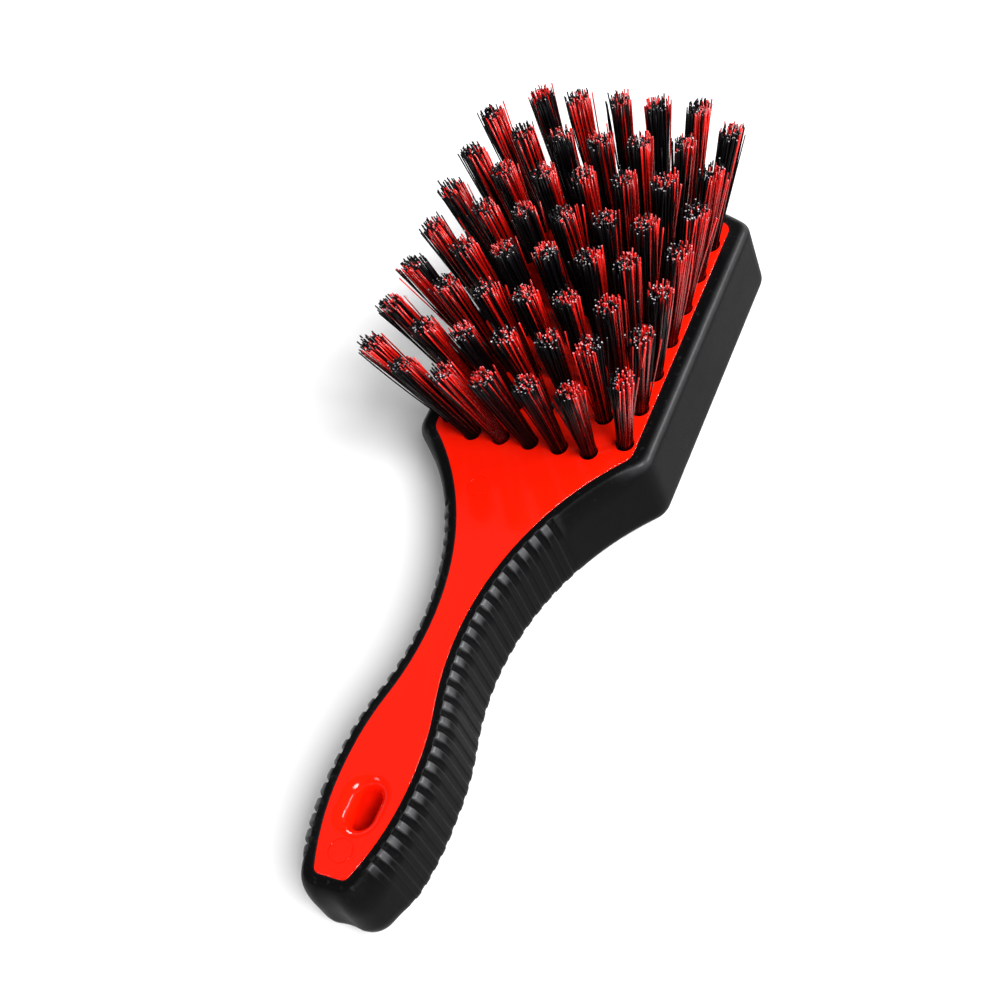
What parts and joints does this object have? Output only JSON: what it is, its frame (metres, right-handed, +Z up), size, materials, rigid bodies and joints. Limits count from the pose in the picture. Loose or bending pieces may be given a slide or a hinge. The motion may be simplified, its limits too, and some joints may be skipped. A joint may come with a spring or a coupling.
{
  "type": "wheel brush",
  "caption": "Short-handled wheel and tyre brush: moulded plastic core in a ribbed rubber grip, with fanned tufts of mixed filaments and a hanging hole.",
  "frame": {"origin": "on the back of the brush, under the middle of its overall length and width", "axes": "+X from the butt of the handle to the head, +Y across the brush, +Z up through the bristles"},
  "size_m": [0.258, 0.0898, 0.069],
  "materials": {
    "core_plastic": "glossy moulded polypropylene",
    "grip_rubber": "satin overmoulded thermoplastic rubber",
    "bristle": "mixed red and black crimp-free filaments, cut flat",
    "anchor_steel": "flat staple wire, bright"
  },
  "bodies": {
    "root": {"handle_core": "core_plastic", "grip_overmold": "grip_rubber", "tuft_anchors": "anchor_steel", "tuft_row1_column1": "bristle", "tuft_row2_column1": "bristle", "tuft_row3_column1": "bristle", "tuft_row4_column1": "bristle", "tuft_row5_column1": "bristle", "tuft_row6_column1": "bristle", "tuft_row7_column1": "bristle", "tuft_row1_column2": "bristle", "tuft_row2_column2": "bristle", "tuft_row3_column2": "bristle", "tuft_row4_column2": "bristle", "tuft_row5_column2": "bristle", "tuft_row6_column2": "bristle", "tuft_row7_column2": "bristle", "tuft_row8_column2": "bristle", "tuft_row1_column3": "bristle", "tuft_row2_column3": "bristle", "tuft_row3_column3": "bristle", "tuft_row4_column3": "bristle", "tuft_row5_column3": "bristle", "tuft_row6_column3": "bristle", "tuft_row7_column3": "bristle", "tuft_row8_column3": "bristle", "tuft_row1_column4": "bristle", "tuft_row2_column4": "bristle", "tuft_row3_column4": "bristle", "tuft_row4_column4": "bristle", "tuft_row5_column4": "bristle", "tuft_row6_column4": "bristle", "tuft_row7_column4": "bristle", "tuft_row8_column4": "bristle", "tuft_row1_column5": "bristle", "tuft_row2_column5": "bristle", "tuft_row3_column5": "bristle", "tuft_row4_column5": "bristle", "tuft_row5_column5": "bristle", "tuft_row6_column5": "bristle", "tuft_row7_column5": "bristle", "tuft_row8_column5": "bristle", "tuft_row1_column6": "bristle", "tuft_row2_column6": "bristle", "tuft_row3_column6": "bristle", "tuft_row4_column6": "bristle", "tuft_row5_column6": "bristle", "tuft_row6_column6": "bristle", "tuft_row7_column6": "bristle", "tuft_row8_column6": "bristle", "tuft_row1_column7": "bristle", "tuft_row2_column7": "bristle", "tuft_row3_column7": "bristle", "tuft_row4_column7": "bristle", "tuft_row5_column7": "bristle", "tuft_row6_column7": "bristle", "tuft_row7_column7": "bristle"}
  },
  "joints": []
}
